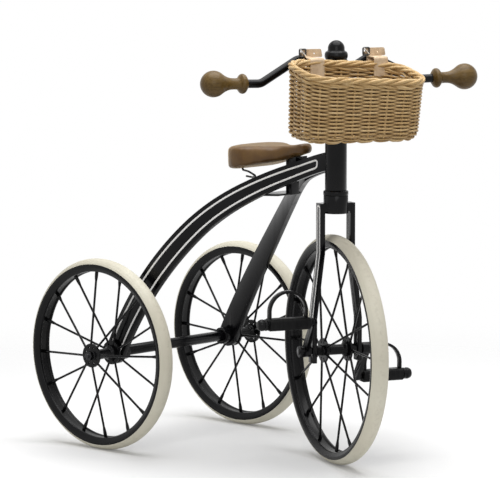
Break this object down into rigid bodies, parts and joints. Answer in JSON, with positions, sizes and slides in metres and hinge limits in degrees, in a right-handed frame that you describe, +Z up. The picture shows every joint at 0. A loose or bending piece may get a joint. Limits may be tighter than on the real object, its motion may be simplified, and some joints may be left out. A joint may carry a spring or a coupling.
{
  "type": "child tricycle with basket",
  "caption": "Retro child tricycle: bowed twin-beam frame, pedals on the steered front wheel, wicker basket, saddle.",
  "frame": {"origin": "middle of the overall box at floor level, with the fork turned as it stands", "axes": "+X forward along the frame from the rear axle to the head tube, +Y to the rider's left, +Z up"},
  "size_m": [0.6688, 0.4202, 0.6569],
  "materials": {
    "frame_paint": "gloss enamel",
    "fork_paint": "gloss enamel",
    "wheel_paint": "gloss enamel",
    "bare_steel": "satin",
    "saddle": "satin, lighter on top",
    "wicker": "woven willow, matte",
    "grip_wood": "stained and lacquered",
    "strap_leather": "natural tan, matte",
    "buckle_metal": "satin",
    "tyre": "cream rubber, matte",
    "pedal_rubber": "matte",
    "cap_plastic": "gloss"
  },
  "bodies": {
    "frame": {"frame_beam_left": "frame_paint", "frame_beam_right": "frame_paint", "axle_tube": "frame_paint", "foot_lugs": "frame_paint", "rear_axle": "bare_steel", "axle_nuts": "bare_steel", "cross_plate": "frame_paint", "head_tube": "frame_paint", "lower_cup": "frame_paint", "upper_cup": "frame_paint", "seat": "saddle", "seat_post": "frame_paint", "seat_nose_clamp": "frame_paint", "seat_lever": "bare_steel"},
    "steering": {"fork_crown": "fork_paint", "steerer": "bare_steel", "lock_nut": "fork_paint", "stem": "fork_paint", "stem_cap": "fork_paint", "handlebar": "fork_paint", "basket": "wicker", "fork_leg_left": "fork_paint", "fork_leg_right": "fork_paint", "grip_left": "grip_wood", "grip_right": "grip_wood", "strap_left": "strap_leather", "strap_right": "strap_leather", "buckle_left": "buckle_metal", "buckle_right": "buckle_metal"},
    "front_wheel": {"front_tyre": "tyre", "front_rim": "wheel_paint", "front_hub": "wheel_paint", "front_spokes": "wheel_paint", "crank_axle": "bare_steel", "crank_left": "fork_paint", "crank_right": "fork_paint", "pedal_spindle_left": "bare_steel", "pedal_spindle_right": "bare_steel"},
    "pedal_left": {"pedal_left": "pedal_rubber", "pedal_cap_left": "cap_plastic", "toe_hoop_left": "cap_plastic"},
    "rear_wheel_left": {"rear_tyre_left": "tyre", "rear_rim_left": "wheel_paint", "rear_hub_left": "wheel_paint", "rear_spokes_left": "wheel_paint"},
    "pedal_right": {"pedal_right": "pedal_rubber", "pedal_cap_right": "cap_plastic", "toe_hoop_right": "cap_plastic"},
    "rear_wheel_right": {"rear_tyre_right": "tyre", "rear_rim_right": "wheel_paint", "rear_hub_right": "wheel_paint", "rear_spokes_right": "wheel_paint"}
  },
  "joints": [
    {"name": "steering", "type": "hinge", "parent": "frame", "child": "steering", "pos_m": [0.17055, 0.00726, 0.426], "axis": [0, 0, 1], "range_deg": [-20.5, 69.5]},
    {"name": "front_wheel_spin", "type": "hinge", "parent": "steering", "child": "front_wheel", "pos_m": [0.17055, 0.00726, 0.1785], "axis": [0.4147, 0.91, 0], "continuous": true},
    {"name": "pedal_left_spin", "type": "hinge", "parent": "front_wheel", "child": "pedal_left", "pos_m": [0.17604, 0.10366, 0.12853], "axis": [0.4147, 0.91, 0], "continuous": true},
    {"name": "pedal_right_spin", "type": "hinge", "parent": "front_wheel", "child": "pedal_right", "pos_m": [0.16507, -0.08915, 0.22847], "axis": [0.4147, 0.91, 0], "continuous": true},
    {"name": "rear_wheel_left_spin", "type": "hinge", "parent": "frame", "child": "rear_wheel_left", "pos_m": [-0.18245, 0.16825, 0.152], "axis": [0, 1, 0], "continuous": true},
    {"name": "rear_wheel_right_spin", "type": "hinge", "parent": "frame", "child": "rear_wheel_right", "pos_m": [-0.18245, -0.15374, 0.152], "axis": [0, 1, 0], "continuous": true}
  ]
}
